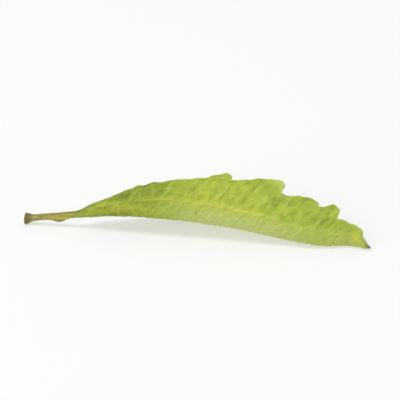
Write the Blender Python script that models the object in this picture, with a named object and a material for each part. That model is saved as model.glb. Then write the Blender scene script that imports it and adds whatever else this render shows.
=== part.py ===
"""A dried stevia leaf, folded along its midrib and lying on its side.

The leaf grew as one piece, so it is one solid. It is first laid out flat, in millimetres: x runs
along the midrib from the cut end of the stalk to the tip, and s runs across it. The half with s
below 0 lies on the surface, and the half with s above 0 stands up. The flat leaf is then folded
and arched, raised along its veins, puckered between them, and given its thickness.
"""

import math
import random

import bmesh
import bpy
import numpy as np

MM = 0.001

# The midrib: x along the leaf, then how far it bows in y and how high it runs above the surface
MIDRIB = [
    (-22.0, -0.25, 0.66),
    (-16.0, -0.05, 1.7),
    (-11.0, 0.0, 2.55),
    (-3.0, 0.0, 2.85),
    (5.0, 0.0, 2.4),
    (12.0, 0.0, 1.2),
    (15.5, 0.05, 0.78),
    (20.5, 0.85, 0.58),
    (22.2, 0.3, 0.38),
]

# The edge of each half as a chain of lobes, each a smooth curve of (x, width) from one notch to
# the next. The first is the stalk, the second widens up to the first tooth, the last is the tip.
STANDING_EDGE = [
    [(-22.0, 0.5), (-19.0, 0.5), (-15.6, 0.62)],
    [(-15.6, 0.62), (-12.9, 1.5), (-7.4, 3.35), (-2.0, 5.0), (1.0, 5.55), (3.35, 6.45), (4.05, 6.15),
     (3.95, 5.65)],
    [(3.95, 5.65), (6.4, 6.25), (9.1, 7.05), (10.7, 6.35), (10.4, 5.1)],
    [(10.4, 5.1), (12.3, 5.2), (14.3, 5.4), (15.25, 5.15), (15.1, 4.6)],
    [(15.1, 4.6), (17.2, 4.85), (17.85, 4.2), (17.65, 3.15)],
    [(17.65, 3.15), (18.8, 2.6), (20.5, 2.0), (21.15, 1.55), (21.2, 1.2)],
    [(21.2, 1.2), (21.8, 0.75), (22.2, 0.2)],
]
LYING_EDGE = [
    [(-22.0, 0.5), (-19.0, 0.5), (-15.6, 0.62)],
    [(-15.6, 0.62), (-12.9, 1.6), (-7.4, 3.7), (-3.0, 5.4), (-0.2, 6.35), (0.55, 5.95), (0.45, 5.45)],
    [(0.45, 5.45), (3.2, 6.35), (5.9, 7.0), (7.2, 6.6), (7.1, 5.75)],
    [(7.1, 5.75), (9.4, 6.15), (11.9, 6.2), (12.9, 5.6), (12.7, 4.9)],
    [(12.7, 4.9), (14.4, 5.05), (16.3, 4.75), (16.9, 4.15), (16.7, 3.6)],
    [(16.7, 3.6), (18.2, 3.5), (19.7, 2.9), (20.15, 2.3), (20.0, 1.8)],
    [(20.0, 1.8), (21.3, 1.15), (22.2, 0.2)],
]

# How the two halves leave the midrib: angles from level, in degrees, at places along x. Further out
# the standing half droops and the lying half curls up, in radians a millimetre.
STANDING_ANGLE = [(-18.5, 22.0), (-13.5, 48.0), (-8.0, 50.0), (22.0, 50.0)]
LYING_ANGLE = [
    (-18.5, -34.0), (-13.5, -9.0), (-6.0, -13.0), (5.0, -19.0), (12.0, -3.0), (17.0, 3.5), (22.0, 5.0)
]
STANDING_DROOP = -0.05
LYING_CURL = 0.02
FOLD_RADIUS = [(-16.0, 0.5), (-8.0, 0.75), (14.0, 0.75), (22.0, 0.45)]

BLADE_THICKNESS = 0.68
RIM_ROUNDING = 0.14

# The stalk and the tip are round, with a flat on the inside of the fold, and flow into the blade
# as its halves widen. The stalk flares at its cut end, and has a short wing under it.
STALK_RADIUS = 0.42
CUT_END_RADIUS, CUT_END_FLARE = 0.74, 0.7
TIP_RADIUS, TIP_END_RADIUS = 0.34, 0.12
WING_PLACE, WING_LENGTH, WING_RISE = -17.4, 1.1, 1.0
WING_SIDE, WING_SPREAD = 0.75, 0.25
ROUND_BELOW_WIDTH, FLAT_ABOVE_WIDTH = 0.45, 1.5
UNDERSIDE_HALF_TURN, UPPER_HALF_TURN = 108.0, 125.0

# Veins: how far from the midrib the two main side veins run, and their most as a share of the width
SIDE_VEIN = [
    (-22.0, 0.25), (-15.6, 0.3), (-11.0, 1.0), (-7.5, 1.6), (0.0, 1.9), (6.0, 1.8), (11.0, 1.6), (17.0, 1.15),
    (22.1, 0.15)
]
SIDE_VEIN_MOST = 0.48
MIDRIB_RISE, MIDRIB_SPREAD = 0.22, 0.6
SIDE_VEIN_RISE, SIDE_VEIN_SPREAD = 0.26, 0.36
BRANCH_RISE, BRANCH_SPREAD = 0.2, 0.38
ROWS_BETWEEN_BRANCHES = 6
FIRST_BRANCH, LAST_BRANCH = -13.0, 20.5
BRANCH_SWEEP, BRANCH_CURVE = 0.7, 1.2

# Puckers between the veins: a net of small hollows, each about this long and wide
PUCKER_LENGTH, PUCKER_WIDTH, PUCKER_SHAKE = 2.3, 1.9, 0.55
PUCKER_DEPTH, PUCKER_SLOPE = 0.15, 1.3
PUCKER_SEED = 7

# The edges wave up and down, the lying one less
WAVE_LENGTH = 9.5
STANDING_WAVE, LYING_WAVE = 0.35, 0.1

# Rows of the mesh: (from, to, spacing) along the midrib; columns as shares of the width
ROW_SPACING = [(-22.0, -21.0, 0.25), (-21.0, -16.0, 0.62), (-16.0, 0.0, 0.57), (0.0, 22.0, 0.44)]
COLUMNS_TO_VEIN = [0.12, 0.27, 0.45, 0.65, 0.84, 1.0]
COLUMNS_TO_EDGE = [0.08, 0.2, 0.36, 0.52, 0.69, 0.86, 1.0]

LEAF_COLOUR = (0.434, 0.503, 0.076)
LEAF_ROUGHNESS = 0.75


def smooth_through(points, x):
    """The values of a smooth curve through (x, value, ...) points, held level past its ends."""
    table = np.array(points, float)
    knots = table[:, 0]
    x = np.clip(x, knots[0], knots[-1])
    index = np.clip(np.searchsorted(knots, x, side="right") - 1, 0, len(knots) - 2)
    gap = knots[index + 1] - knots[index]
    t = (x - knots[index]) / gap
    columns = []
    for values in table[:, 1:].T:
        slopes = np.gradient(values, knots)
        columns.append(
            (2 * t**3 - 3 * t**2 + 1) * values[index]
            + (t**3 - 2 * t**2 + t) * gap * slopes[index]
            + (3 * t**2 - 2 * t**3) * values[index + 1]
            + (t**3 - t**2) * gap * slopes[index + 1]
        )
    return columns[0] if len(columns) == 1 else np.stack(columns, axis=-1)


def smooth_step(low, high, value):
    t = np.clip((value - low) / (high - low), 0.0, 1.0)
    return t * t * (3 - 2 * t)


def arc(start, bend, length):
    """How far along y and z a line has gone that sets off at an angle and bends evenly."""
    bend = np.where(np.abs(bend) < 1e-6, 1e-6, bend)
    end = start + bend * length
    return (np.sin(end) - np.sin(start)) / bend, (np.cos(start) - np.cos(end)) / bend


def folded(x, s):
    """The middle of the blade's thickness, folded and arched, at flat places x and s."""
    standing = s >= 0
    distance = np.abs(s)
    stand_angle = np.radians(smooth_through(STANDING_ANGLE, x))
    lie_angle = np.radians(smooth_through(LYING_ANGLE, x))
    radius = smooth_through(FOLD_RADIUS, x)
    side = np.where(standing, 1.0, -1.0)
    fold_length = radius * (math.pi / 2 - (stand_angle - lie_angle) / 2)
    fold_start = (stand_angle + lie_angle) / 2 + side * math.pi / 2
    fold_y, fold_z = arc(fold_start, -side / radius, np.minimum(distance, fold_length))
    blade_angle = np.where(standing, stand_angle, lie_angle)
    blade_bend = np.where(standing, STANDING_DROOP, LYING_CURL)
    blade_y, blade_z = arc(blade_angle, blade_bend, np.maximum(distance - fold_length, 0.0))
    midrib = smooth_through(MIDRIB, x)
    return np.stack([x, midrib[..., 0] + fold_y + blade_y, midrib[..., 1] + fold_z + blade_z], axis=-1)


def facing_out(x, s):
    """The direction straight out of the blade's underside, which is the outside of the fold."""
    step = 0.02
    along = folded(x + step, s) - folded(x - step, s)
    across = folded(x, s + step) - folded(x, s - step)
    normal = np.cross(along, across)
    return normal / np.linalg.norm(normal, axis=-1, keepdims=True)


def lobe_curve(points, steps=40):
    """A smooth curve through a lobe's points, with its own steps between each two."""
    points = np.array(points, float)
    chords = np.linalg.norm(np.diff(points, axis=0), axis=1)
    along = np.concatenate([[0.0], np.cumsum(np.sqrt(chords))])
    fine = np.linspace(0.0, along[-1], steps * (len(points) - 1) + 1)
    table = np.column_stack([along, points])
    return smooth_through(table, fine)


def rows_along_midrib():
    rows = [ROW_SPACING[0][0]]
    for start, end, spacing in ROW_SPACING:
        count = round((end - start) / spacing)
        rows.extend(start + (end - start) * (i + 1) / count for i in range(count))
    return np.array(rows)


def edge_of_rows(lobes, rows):
    """Where each row of the mesh meets the edge, with a row at every notch."""
    edge = np.empty((len(rows), 2))
    first = 0
    for lobe in lobes:
        end_x, end_width = lobe[-1]
        last = int(np.argmin(np.abs(rows - (end_x - BRANCH_SWEEP * end_width))))
        if lobe is lobes[-1]:
            last = len(rows) - 1
        curve = lobe_curve(lobe)
        lengths = np.concatenate([[0.0], np.cumsum(np.linalg.norm(np.diff(curve, axis=0), axis=1))])
        share = (rows[first : last + 1] - rows[first]) / (rows[last] - rows[first])
        for axis in range(2):
            edge[first : last + 1, axis] = np.interp(share * lengths[-1], lengths, curve[:, axis])
        first = last
    return edge


def half_grid(lobes, rows):
    """Flat places (x, width) of one half's columns, from beside the midrib out to the rim."""
    edge = edge_of_rows(lobes, rows)
    sweep = edge[:, 0] - rows
    vein = np.minimum(smooth_through(SIDE_VEIN, rows), SIDE_VEIN_MOST * edge[:, 1])
    brim = edge[:, 1] - np.minimum(RIM_ROUNDING, 0.3 * edge[:, 1])
    widths = [vein * share for share in COLUMNS_TO_VEIN]
    widths += [vein + (brim - vein) * share for share in COLUMNS_TO_EDGE]
    widths.append(edge[:, 1])
    widths = np.stack(widths, axis=1)
    places = rows[:, None] + sweep[:, None] * (widths / edge[:, 1:2]) ** BRANCH_CURVE
    return places, widths, np.repeat(vein[:, None], widths.shape[1], axis=1)


def pucker_centres():
    """The middle of each small hollow, on a staggered grid that is shaken a little."""
    draw = random.Random(PUCKER_SEED)
    centres = []
    for column in range(-5, 6):
        for row in range(-14, 11):
            x = PUCKER_LENGTH * (row + 0.5 * (column % 2)) + draw.uniform(-PUCKER_SHAKE, PUCKER_SHAKE)
            s = PUCKER_WIDTH * column + draw.uniform(-PUCKER_SHAKE, PUCKER_SHAKE)
            centres.append((x, s))
    return np.array(centres)


def hollow_between_veins(x, s):
    """0 on the net's lines and 1 in the middle of each hollow."""
    centres = pucker_centres()
    flat = np.stack([x - BRANCH_SWEEP * np.abs(s), s], axis=-1).reshape(-1, 1, 2)
    distances = np.sort(np.linalg.norm(flat - centres, axis=-1), axis=1)
    return smooth_step(0.0, PUCKER_SLOPE, distances[:, 1] - distances[:, 0]).reshape(x.shape)


def vein_rise(rows, x, s, vein, share):
    """How far the underside stands out along the midrib, the side veins and their branches."""
    width = np.abs(s)
    taper = 1.0 - 0.6 * smooth_step(-10.0, 22.0, x)
    rise = MIDRIB_RISE * taper * np.exp(-((width / MIDRIB_SPREAD) ** 2))
    rise += SIDE_VEIN_RISE * taper * np.exp(-(((width - vein) / SIDE_VEIN_SPREAD) ** 2))
    branch = np.arange(len(rows)) / ROWS_BETWEEN_BRANCHES
    spacing = np.gradient(rows) * ROWS_BETWEEN_BRANCHES
    beside = ((branch - np.round(branch)) * spacing)[:, None]
    along = smooth_step(FIRST_BRANCH - 1, FIRST_BRANCH, rows)
    along *= smooth_step(LAST_BRANCH + 1, LAST_BRANCH, rows)
    across = smooth_step(0.7, 1.8, width) * smooth_step(1.0, 0.8, np.abs(share))
    return rise + BRANCH_RISE * along[:, None] * across * np.exp(-((beside / BRANCH_SPREAD) ** 2))


def round_section(x, share, radius, is_upper):
    """The stalk or the tip at the same places: round, with a flat on the inside of the fold."""
    facing = np.radians(smooth_through(STANDING_ANGLE, x) + smooth_through(LYING_ANGLE, x)) / 2 + math.pi
    half_turn = math.radians(UPPER_HALF_TURN if is_upper else UNDERSIDE_HALF_TURN)
    centre = smooth_through(MIDRIB, x)
    if is_upper:
        out, sideways = math.cos(half_turn), -share * math.sin(half_turn)
    else:
        out, sideways = np.cos(share * half_turn), -np.sin(share * half_turn)
    y = out * np.cos(facing) - sideways * np.sin(facing)
    z = out * np.sin(facing) + sideways * np.cos(facing)
    return np.stack([x, centre[..., 0] + radius * y, centre[..., 1] + radius * z], axis=-1)


def leaf_faces(rows):
    """The points of the underside and of the upper face, row by row, from one rim to the other."""
    standing_x, standing_w, standing_vein = half_grid(STANDING_EDGE, rows)
    lying_x, lying_w, lying_vein = half_grid(LYING_EDGE, rows)
    zero = np.zeros((len(rows), 1))
    x = np.concatenate([lying_x[:, ::-1], rows[:, None], standing_x], axis=1)
    s = np.concatenate([-lying_w[:, ::-1], zero, standing_w], axis=1)
    vein = np.concatenate([lying_vein[:, ::-1], standing_vein[:, :1], standing_vein], axis=1)

    middle = folded(x, s)
    out = facing_out(x, s)
    share = s / np.where(s > 0, standing_w[:, -1:], lying_w[:, -1:])
    rise = vein_rise(rows, x, s, vein, share)
    clear_of_fold = smooth_step(0.9, 2.2, np.abs(s))
    pucker = -PUCKER_DEPTH * clear_of_fold * hollow_between_veins(x, s)
    wave = np.where(s > 0, STANDING_WAVE, LYING_WAVE) * share**2 * np.sin(2 * math.pi * x / WAVE_LENGTH)
    middle += out * (pucker + wave)[..., None]
    underside = middle + out * (BLADE_THICKNESS / 2 + rise)[..., None]
    upper_face = middle - out * BLADE_THICKNESS / 2

    half_width = (standing_w[:, -1] + lying_w[:, -1]) / 2
    roundness = 1.0 - smooth_step(ROUND_BELOW_WIDTH, FLAT_ABOVE_WIDTH, half_width)[:, None]
    flare = np.exp(-(((x - rows[0]) / CUT_END_FLARE) ** 2))
    wing = np.exp(-(((x - WING_PLACE) / WING_LENGTH) ** 2 + ((share + WING_SIDE) / WING_SPREAD) ** 2))
    stalk = (STALK_RADIUS + (CUT_END_RADIUS - STALK_RADIUS) * flare) * (1.0 + WING_RISE * wing)
    tip = TIP_RADIUS + (TIP_END_RADIUS - TIP_RADIUS) * smooth_step(rows[-1] - 0.6, rows[-1] + 0.2, x)
    radius = np.where(x < 0, stalk, tip)
    blend = roundness[..., None]
    underside = underside * (1 - blend) + round_section(x, share, radius, False) * blend
    upper_face = upper_face * (1 - blend) + round_section(x, share, radius, True) * blend
    return underside, upper_face


def leaf_loops(rows):
    """Each row as one closed loop of points: the underside, a rim, the upper face, a rim."""
    underside, upper_face = leaf_faces(rows)
    loops = []
    for below, above in zip(underside, upper_face):
        lying_rim = (below[0] + above[0]) / 2
        standing_rim = (below[-1] + above[-1]) / 2
        loops.append(np.concatenate([below[1:-1], [standing_rim], above[-2:0:-1], [lying_rim]]))
    return np.array(loops)


def loop_faces(count, loop_length):
    """Triangles between the loops, split the same way on the underside and the upper face."""
    across = loop_length // 2
    faces = []
    for row in range(count - 1):
        for k in range(loop_length):
            after = (k + 1) % loop_length
            a, b = row * loop_length + k, row * loop_length + after
            c, d = a + loop_length, b + loop_length
            # The two faces are met in opposite order round the loop, and so are the two halves
            is_underside = after < across
            is_standing = across // 2 <= after < across + across // 2
            if is_underside == is_standing:
                faces += [(a, c, b), (b, c, d)]
            else:
                faces += [(a, c, d), (a, d, b)]
    return faces


def end_faces(start, loop_length, turned):
    """A strip of triangles that closes an end loop from one rim to the other."""
    faces = []
    low, high = loop_length - 1, 0
    while high < low - 1:
        faces.append((start + low, start + high, start + low - 1))
        if high + 1 < low - 1:
            faces.append((start + high, start + high + 1, start + low - 1))
        high += 1
        low -= 1
    return [face[::-1] for face in faces] if turned else faces


def make_material():
    material = bpy.data.materials.new("dried leaf")
    material.use_nodes = True
    shader = material.node_tree.nodes["Principled BSDF"]
    shader.inputs["Base Color"].default_value = (*LEAF_COLOUR, 1.0)
    shader.inputs["Roughness"].default_value = LEAF_ROUGHNESS
    shader.inputs["Metallic"].default_value = 0.0
    return material


def make_leaf():
    rows = rows_along_midrib()
    loops = leaf_loops(rows)
    loop_length = loops.shape[1]
    points = loops.reshape(-1, 3)
    # The low places become small flat spots, which the leaf rests on
    points[:, 2] = np.maximum(points[:, 2], 0.0)
    points[:, :2] -= (points[:, :2].min(axis=0) + points[:, :2].max(axis=0)) / 2
    faces = loop_faces(len(rows), loop_length)
    faces += end_faces(0, loop_length, False)
    faces += end_faces((len(rows) - 1) * loop_length, loop_length, True)

    mesh = bpy.data.meshes.new("leaf")
    mesh.from_pydata([tuple(point * MM) for point in points], [], faces)
    shape = bmesh.new()
    shape.from_mesh(mesh)
    bmesh.ops.recalc_face_normals(shape, faces=shape.faces)
    shape.to_mesh(mesh)
    shape.free()
    mesh.shade_smooth()
    mesh.set_sharp_from_angle(angle=math.radians(50.0))
    mesh.materials.append(make_material())
    leaf = bpy.data.objects.new("leaf", mesh)
    bpy.context.scene.collection.objects.link(leaf)
    return leaf


def main():
    for obj in list(bpy.data.objects):
        bpy.data.objects.remove(obj, do_unlink=True)
    make_leaf()


main()
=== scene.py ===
import math
import random

import bpy
import numpy as np
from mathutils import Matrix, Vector


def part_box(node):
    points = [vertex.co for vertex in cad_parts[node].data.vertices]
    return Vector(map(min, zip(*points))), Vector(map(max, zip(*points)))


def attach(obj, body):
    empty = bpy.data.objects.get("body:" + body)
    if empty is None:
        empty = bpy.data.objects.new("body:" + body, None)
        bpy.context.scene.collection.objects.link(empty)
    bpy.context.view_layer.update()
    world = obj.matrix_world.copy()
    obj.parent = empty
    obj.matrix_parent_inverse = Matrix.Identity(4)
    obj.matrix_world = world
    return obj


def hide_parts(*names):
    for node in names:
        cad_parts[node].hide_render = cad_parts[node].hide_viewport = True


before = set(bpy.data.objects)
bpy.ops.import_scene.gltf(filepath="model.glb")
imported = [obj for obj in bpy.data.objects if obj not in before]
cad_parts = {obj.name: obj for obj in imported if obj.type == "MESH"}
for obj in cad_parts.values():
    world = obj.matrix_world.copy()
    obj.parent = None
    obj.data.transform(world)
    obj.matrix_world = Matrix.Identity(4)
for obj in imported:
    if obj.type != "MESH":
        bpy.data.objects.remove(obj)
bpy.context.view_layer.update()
leafLow, leafHigh = (np.array(corner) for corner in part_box("leaf"))
mm = 0.001
print("frame loaded, the leaf measures", [round(size / mm, 2) for size in leafHigh - leafLow], "mm")

# The leaf laid out flat, in millimetres: x runs along the midrib from the cut end of the stalk to
# the tip, s runs across it. The half with s below 0 lies down, the half with s above 0 stands up.
form = {
    # x, then how far the midrib bows in y and how high it runs
    "midrib": [
        (-22.0, -0.25, 0.66), (-16.0, -0.05, 1.7), (-11.0, 0.0, 2.55), (-3.0, 0.0, 2.85),
        (5.0, 0.0, 2.4), (12.0, 0.0, 1.2), (15.5, 0.05, 0.78), (20.5, 0.85, 0.58), (22.2, 0.3, 0.38),
    ],
    # each half's edge as a chain of lobes, each a smooth curve of (x, width) from notch to notch
    "standingEdge": [
        [(-22.0, 0.5), (-19.0, 0.5), (-15.6, 0.62)],
        [(-15.6, 0.62), (-12.9, 1.5), (-7.4, 3.35), (-2.0, 5.0), (1.0, 5.55), (3.35, 6.45),
         (4.05, 6.15), (3.95, 5.65)],
        [(3.95, 5.65), (6.4, 6.25), (9.1, 7.05), (10.7, 6.35), (10.4, 5.1)],
        [(10.4, 5.1), (12.3, 5.2), (14.3, 5.4), (15.25, 5.15), (15.1, 4.6)],
        [(15.1, 4.6), (17.2, 4.85), (17.85, 4.2), (17.65, 3.15)],
        [(17.65, 3.15), (18.8, 2.6), (20.5, 2.0), (21.15, 1.55), (21.2, 1.2)],
        [(21.2, 1.2), (21.8, 0.75), (22.2, 0.2)],
    ],
    "lyingEdge": [
        [(-22.0, 0.5), (-19.0, 0.5), (-15.6, 0.62)],
        [(-15.6, 0.62), (-12.9, 1.6), (-7.4, 3.7), (-3.0, 5.4), (-0.2, 6.35), (0.55, 5.95),
         (0.45, 5.45)],
        [(0.45, 5.45), (3.2, 6.35), (5.9, 7.0), (7.2, 6.6), (7.1, 5.75)],
        [(7.1, 5.75), (9.4, 6.15), (11.9, 6.2), (12.9, 5.6), (12.7, 4.9)],
        [(12.7, 4.9), (14.4, 5.05), (16.3, 4.75), (16.9, 4.15), (16.7, 3.6)],
        [(16.7, 3.6), (18.2, 3.5), (19.7, 2.9), (20.15, 2.3), (20.0, 1.8)],
        [(20.0, 1.8), (21.3, 1.15), (22.2, 0.2)],
    ],
    # how the halves leave the midrib, in degrees from level, then bend, in radians a millimetre
    "standingAngle": [(-18.5, 22.0), (-13.5, 48.0), (-8.0, 50.0), (22.0, 50.0)],
    "lyingAngle": [
        (-18.5, -34.0), (-13.5, -9.0), (-6.0, -13.0), (5.0, -19.0), (12.0, -3.0), (17.0, 3.5),
        (22.0, 5.0),
    ],
    "standingDroop": -0.05,
    "lyingCurl": 0.02,
    "foldRadius": [(-16.0, 0.5), (-8.0, 0.75), (14.0, 0.75), (22.0, 0.45)],
    # how far the underside lies outside the folded sheet's middle, where that grows from its share
    # by the stalk, and the thickness of the thin blade inside it
    "undersideOffset": 0.34,
    "offsetGrows": (-16.0, -9.5, 0.45),
    "bladeThickness": 0.22,
    "mostRounding": 0.3,
    "foldFilling": 0.22,
    "foldFillingWidth": 0.8,
    "waveLength": 9.5,
    "standingWave": 0.35,
    "lyingWave": 0.1,
    # shallow buckles of the dry blade: height, length along, length across and phase of each, and
    # the widths over which they grow
    "buckles": [
        (0.12, 5.3, 8.0, 0.4), (0.1, 3.4, -5.0, 2.1), (0.07, 2.1, 3.3, 4.0), (0.05, 1.3, -2.4, 1.2),
    ],
    "bucklesGrow": (0.9, 3.4),
    # the tooth whose edge has rolled towards the front: place, length, how far, and the crease inside,
    # then the shares of the width where it rolls, where its rim is painted pale as a highlight, and of
    # the crease, which is also painted darker as shade
    "rolledTooth": (10.1, 1.1, 0.4, 0.16),
    "rolls": (0.84, 1.0),
    "rolledRimHighlight": (0.86, 0.94),
    "rolledCrease": (0.83, 0.05),
    # all edges curl a little: how far, its even part, then strength, turn and side of its waves, and
    # the shares of the width and the widths over which it grows
    "edgeCurl": 0.16,
    "evenCurl": 0.6,
    "curlWaves": [(0.6, 1.9, 1.0), (0.5, 0.83, 0.0)],
    "curlShares": (0.9, 1.0),
    "curlWidths": (2.0, 4.0),
    # the blade ends this far under the top of the box, which leaves room for its relief and hairs
    "roomOnTop": 0.08,
    "topStretch": 1.2,
    # small unevenness of the edges: how much, every so far, and the seed, then the places and the
    # widths over which it grows
    "edgeShake": (0.09, 0.5, 5),
    "shakeFrom": (-14.0, -9.0),
    "shakeWidths": (0.5, 2.5),
    "stalkRadius": 0.42,
    "cutEndRadius": 0.74,
    "cutEndFlare": 0.7,
    "stalkChannel": 0.16,
    "tipRadius": 0.34,
    "tipEndRadius": 0.12,
    "tipTapers": (21.4, 22.2),
    # the short wing under the stalk: place, length and rise, then where it stands and how wide it is
    "wing": (-17.4, 1.1, 1.0),
    "wingSide": (0.75, 0.25),
    "roundBelowWidth": 0.45,
    "flatAboveWidth": 1.5,
    "undersideHalfTurn": 108.0,
    "upperHalfTurn": 125.0,
    # rows of the mesh: (from, to, spacing) along the midrib, each split again
    "rowSpacing": [(-22.0, -21.0, 0.25), (-21.0, -16.0, 0.62), (-16.0, 0.0, 0.57), (0.0, 22.0, 0.44)],
    "splitRows": 5,
    "columnsToVein": 19,
    "columnsToEdge": 40,
    "rimTurns": (30.0, 60.0, 90.0),
}

# Veins and puckers of the leaf, in millimetres
veins = {
    # how far the side veins run from the midrib, and their most as a share of the half's width
    "sideVein": [
        (-22.0, 0.25), (-15.6, 0.3), (-11.0, 1.0), (-7.5, 1.6), (0.0, 1.9), (6.0, 1.8), (11.0, 1.6),
        (17.0, 1.15), (22.1, 0.15),
    ],
    "sideVeinMost": 0.48,
    "sideVeinEnds": (1.0, 0.9),
    "veinsTaper": (-10.0, 22.0),
    "taperMost": 0.6,
    # every vein is a fine ridge on a soft swell: how high, and how wide each of the two is
    "ridgeShare": 0.5,
    "midribRise": 0.24,
    "midribSpreads": (0.24, 0.55),
    "sideVeinRise": 0.24,
    "sideVeinSpreads": (0.13, 0.36),
    "sideVeinSway": (0.1, 6.3),
    "swayGrows": (0.6, 1.4),
    "branchRise": 0.13,
    "branchSpreads": (0.1, 0.27),
    "branchSway": (0.22, 1.9),
    "swayShift": 2.4,
    # the branches' strength: its even part, its swing and how fast it changes from one to the next
    "branchStrength": (0.75, 0.25, 3.7),
    "innerStrength": 0.75,
    "innerFrom": (0.5, 1.2),
    "branchMeetsVein": 0.15,
    "branchEnds": (1.0, 0.8),
    "rowsBetweenBranches": 6,
    "branchesFrom": -13.0,
    "branchesTo": 20.5,
    "branchSweep": 0.7,
    "branchCurve": 1.2,
    "showsOnUpperFace": 0.5,
    "puckerLength": 2.3,
    "puckerWidth": 1.9,
    "puckerShake": 0.55,
    "puckerDepth": 0.13,
    "puckerShallowest": 0.35,
    "puckerSlope": 1.3,
    "puckersGrow": (0.9, 2.2),
    "puckerColumns": (-5, 6),
    "puckerRows": (-14, 11),
    "puckerSeed": 7,
}


def smoothThrough(points, x):
    table = np.array(points, float)
    knots = table[:, 0]
    x = np.clip(x, knots[0], knots[-1])
    index = np.clip(np.searchsorted(knots, x, side="right") - 1, 0, len(knots) - 2)
    gap = knots[index + 1] - knots[index]
    t = (x - knots[index]) / gap
    columns = []
    for values in table[:, 1:].T:
        slopes = np.gradient(values, knots)
        columns.append(
            (2 * t**3 - 3 * t**2 + 1) * values[index]
            + (t**3 - 2 * t**2 + t) * gap * slopes[index]
            + (3 * t**2 - 2 * t**3) * values[index + 1]
            + (t**3 - t**2) * gap * slopes[index + 1]
        )
    return columns[0] if len(columns) == 1 else np.stack(columns, axis=-1)


def smoothStep(low, high, value):
    t = np.clip((value - low) / (high - low), 0.0, 1.0)
    return t * t * (3 - 2 * t)


def bump(distance, spread):
    return np.exp(-((distance / spread) ** 2))


# A vein's height across: a fine ridge that stands on a soft swell
def ridge(distance, spreads):
    share = veins["ridgeShare"]
    return share * bump(distance, spreads[0]) + (1 - share) * bump(distance, spreads[1])


# How far along y and z a line has gone that sets off at an angle and bends evenly
def bentLine(start, bend, length):
    bend = np.where(np.abs(bend) < 1e-6, 1e-6, bend)
    end = start + bend * length
    return (np.sin(end) - np.sin(start)) / bend, (np.cos(start) - np.cos(end)) / bend


# Where the middle of the arched and folded sheet lies, for flat places x and s
def foldedPlace(x, s):
    distance = np.abs(s)
    standAngle = np.radians(smoothThrough(form["standingAngle"], x))
    lieAngle = np.radians(smoothThrough(form["lyingAngle"], x))
    radius = smoothThrough(form["foldRadius"], x)
    side = np.where(s >= 0, 1.0, -1.0)
    foldLength = radius * (math.pi / 2 - (standAngle - lieAngle) / 2)
    foldStart = (standAngle + lieAngle) / 2 + side * math.pi / 2
    foldY, foldZ = bentLine(foldStart, -side / radius, np.minimum(distance, foldLength))
    bladeAngle = np.where(s >= 0, standAngle, lieAngle)
    bladeBend = np.where(s >= 0, form["standingDroop"], form["lyingCurl"])
    bladeY, bladeZ = bentLine(bladeAngle, bladeBend, np.maximum(distance - foldLength, 0.0))
    midrib = smoothThrough(form["midrib"], x)
    return np.stack([x, midrib[..., 0] + foldY + bladeY, midrib[..., 1] + foldZ + bladeZ], axis=-1)


# Unit directions at flat places: along the leaf, and straight out of its underside
def foldDirections(x, s):
    step = 0.02
    along = foldedPlace(x + step, s) - foldedPlace(x - step, s)
    across = foldedPlace(x, s + step) - foldedPlace(x, s - step)
    outward = np.cross(along, across)
    along /= np.linalg.norm(along, axis=-1, keepdims=True)
    return along, outward / np.linalg.norm(outward, axis=-1, keepdims=True)


def lobeCurve(points, steps=40):
    points = np.array(points, float)
    chords = np.linalg.norm(np.diff(points, axis=0), axis=1)
    along = np.concatenate([[0.0], np.cumsum(np.sqrt(chords))])
    fine = np.linspace(0.0, along[-1], steps * (len(points) - 1) + 1)
    return smoothThrough(np.column_stack([along, points]), fine)


def midribRows():
    rows = [form["rowSpacing"][0][0]]
    for start, end, spacing in form["rowSpacing"]:
        count = round((end - start) / spacing)
        rows.extend(start + (end - start) * (i + 1) / count for i in range(count))
    split = form["splitRows"]
    return np.interp(np.arange((len(rows) - 1) * split + 1) / split, np.arange(len(rows)), rows)


# Where each row of the mesh meets the edge, with a row at every notch
def edgeOfRows(lobes, rows):
    edge = np.empty((len(rows), 2))
    split = form["splitRows"]
    first = 0
    for lobe in lobes:
        endX, endWidth = lobe[-1]
        start = endX - veins["branchSweep"] * endWidth
        last = split * int(np.argmin(np.abs(rows[::split] - start)))
        if lobe is lobes[-1]:
            last = len(rows) - 1
        curve = lobeCurve(lobe)
        lengths = np.concatenate([[0.0], np.cumsum(np.linalg.norm(np.diff(curve, axis=0), axis=1))])
        share = (rows[first : last + 1] - rows[first]) / (rows[last] - rows[first])
        for axis in range(2):
            edge[first : last + 1, axis] = np.interp(share * lengths[-1], lengths, curve[:, axis])
        first = last
    amount, every, seed = form["edgeShake"]
    draw = np.random.default_rng(seed + len(lobes[1]))
    places = np.arange(rows[0], rows[-1] + every, every)
    shakes = draw.uniform(-amount, amount, len(places)) * smoothStep(*form["shakeFrom"], places)
    edge[:, 1] += np.interp(rows, places, shakes) * smoothStep(*form["shakeWidths"], edge[:, 1])
    return edge


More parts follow.
